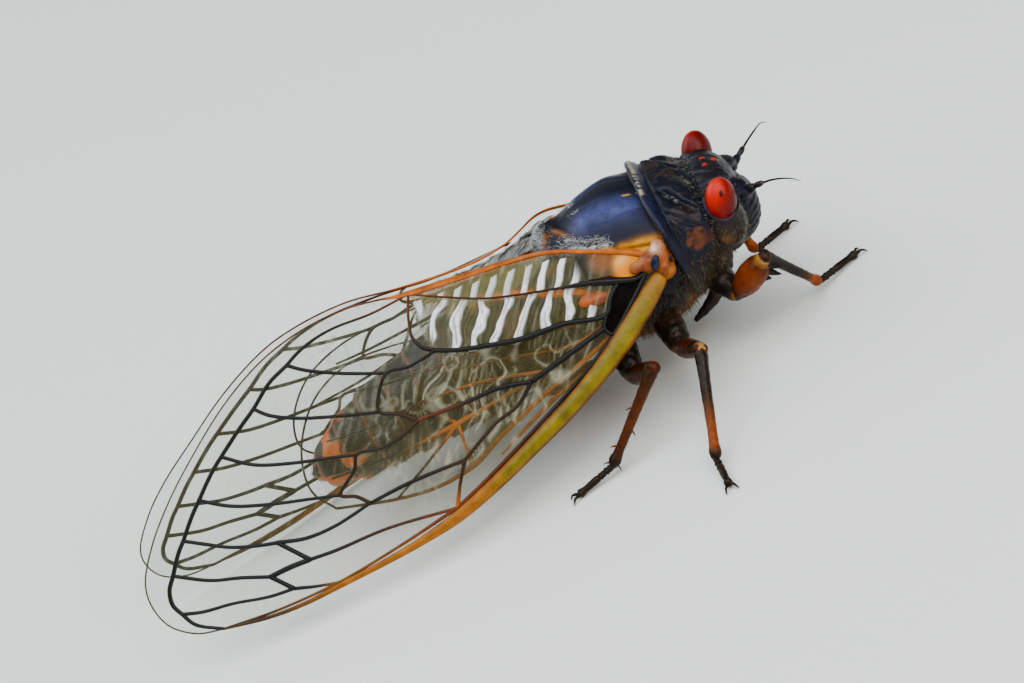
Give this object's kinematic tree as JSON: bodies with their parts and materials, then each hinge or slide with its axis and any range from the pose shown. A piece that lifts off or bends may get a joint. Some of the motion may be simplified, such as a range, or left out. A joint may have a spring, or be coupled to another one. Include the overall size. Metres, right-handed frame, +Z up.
{
  "type": "periodical cicada",
  "caption": "Life-size periodical cicada at rest: black body, red eyes, clear wings with orange and black veins folded like a roof, standing on six legs.",
  "frame": {"origin": "middle of the whole outline seen from above, on the floor that the feet stand on", "axes": "+X towards the head, +Y to the animal's left, +Z up"},
  "size_m": [0.0434, 0.0314, 0.0128],
  "materials": {
    "black_cuticle": "satin, insect cuticle, black with a blue sheen",
    "brown_cuticle": "satin, insect cuticle, brown-black",
    "orange_cuticle": "satin, insect cuticle, orange-brown",
    "banded_cuticle": "satin, insect cuticle, black with orange bands",
    "red_eye": "glossy faceted eye",
    "forewing_membrane": "clear insect membrane with orange and black veins",
    "hindwing_membrane": "clear insect membrane"
  },
  "bodies": {
    "root": {"head": "black_cuticle", "beak": "brown_cuticle", "prothorax": "black_cuticle", "mesothorax": "black_cuticle", "abdomen": "banded_cuticle", "eye_left": "red_eye", "antenna_left": "brown_cuticle", "operculum_left": "banded_cuticle", "forewing_left": "forewing_membrane", "hindwing_left": "hindwing_membrane", "femur_front_left": "brown_cuticle", "tibia_front_left": "orange_cuticle", "tarsus_front_left": "brown_cuticle", "femur_middle_left": "brown_cuticle", "tibia_middle_left": "orange_cuticle", "tarsus_middle_left": "brown_cuticle", "femur_hind_left": "brown_cuticle", "tibia_hind_left": "orange_cuticle", "tarsus_hind_left": "brown_cuticle", "eye_right": "red_eye", "antenna_right": "brown_cuticle", "operculum_right": "banded_cuticle", "forewing_right": "forewing_membrane", "hindwing_right": "hindwing_membrane", "femur_front_right": "brown_cuticle", "tibia_front_right": "orange_cuticle", "tarsus_front_right": "brown_cuticle", "femur_middle_right": "brown_cuticle", "tibia_middle_right": "orange_cuticle", "tarsus_middle_right": "brown_cuticle", "femur_hind_right": "brown_cuticle", "tibia_hind_right": "orange_cuticle", "tarsus_hind_right": "brown_cuticle"}
  },
  "joints": []
}
